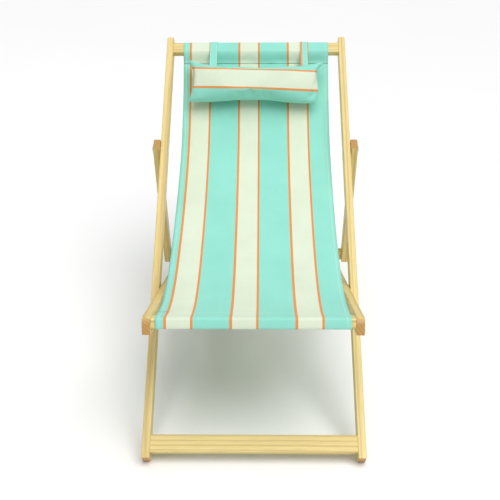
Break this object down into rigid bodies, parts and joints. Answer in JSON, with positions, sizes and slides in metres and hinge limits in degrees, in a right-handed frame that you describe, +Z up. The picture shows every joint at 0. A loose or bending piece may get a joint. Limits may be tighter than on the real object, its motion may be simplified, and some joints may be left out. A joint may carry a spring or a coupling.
{
  "type": "folding deck chair",
  "caption": "Reclining deck chair of nested wooden frames with a hung striped fabric sling, a headrest cushion and a swinging prop frame that sets the recline.",
  "frame": {"origin": "on the floor, at the centre of the chair's footprint box as it stands open", "axes": "+X across the chair, +Y from its front to its rear, +Z up"},
  "size_m": [0.5864, 1.0808, 0.7583],
  "materials": {
    "pine": "clear matt oil on light timber",
    "sling_fabric": "woven stripes in pale turquoise, cream and orange",
    "pillow_fabric": "woven, same cloth as the sling, soft filling",
    "screw_steel": "zinc plated",
    "pivot_steel": "zinc plated"
  },
  "bodies": {
    "back_frame": {"back_rail_left": "pine", "back_rail_right": "pine", "top_bar": "pine", "foot_board": "pine", "top_bar_screws": "screw_steel", "foot_board_screws": "screw_steel", "seat_pivot_bolts": "pivot_steel", "seat_pivot_nuts": "pivot_steel", "seat_pivot_washers": "pivot_steel", "prop_pivot_bolts": "pivot_steel", "prop_pivot_nuts": "pivot_steel", "prop_pivot_washers": "pivot_steel", "top_sleeve": "sling_fabric", "sling": "sling_fabric", "pillow": "pillow_fabric", "pillow_tabs": "pillow_fabric"},
    "seat_frame": {"seat_rail_left": "pine", "seat_rail_right": "pine", "front_bar": "pine", "rear_bar": "pine", "front_bar_screws": "screw_steel", "rear_bar_screws": "screw_steel", "front_sleeve": "sling_fabric"},
    "prop_frame": {"prop_rail_left": "pine", "prop_rail_right": "pine", "prop_board": "pine", "prop_board_screws": "screw_steel"}
  },
  "joints": [
    {"name": "frame_fold", "type": "hinge", "parent": "back_frame", "child": "seat_frame", "pos_m": [0, -0.16812, 0.26262], "axis": [1, 0, 0], "range_deg": [0, 50.5], "deforming": ["sling"]},
    {"name": "prop_fold", "type": "hinge", "parent": "back_frame", "child": "prop_frame", "pos_m": [0, 0.20438, 0.51863], "axis": [1, 0, 0], "range_deg": [0, 267.7]}
  ],
  "couplings": [
    {"joint": "prop_fold", "follows": "frame_fold", "ratio": 5.3}
  ]
}
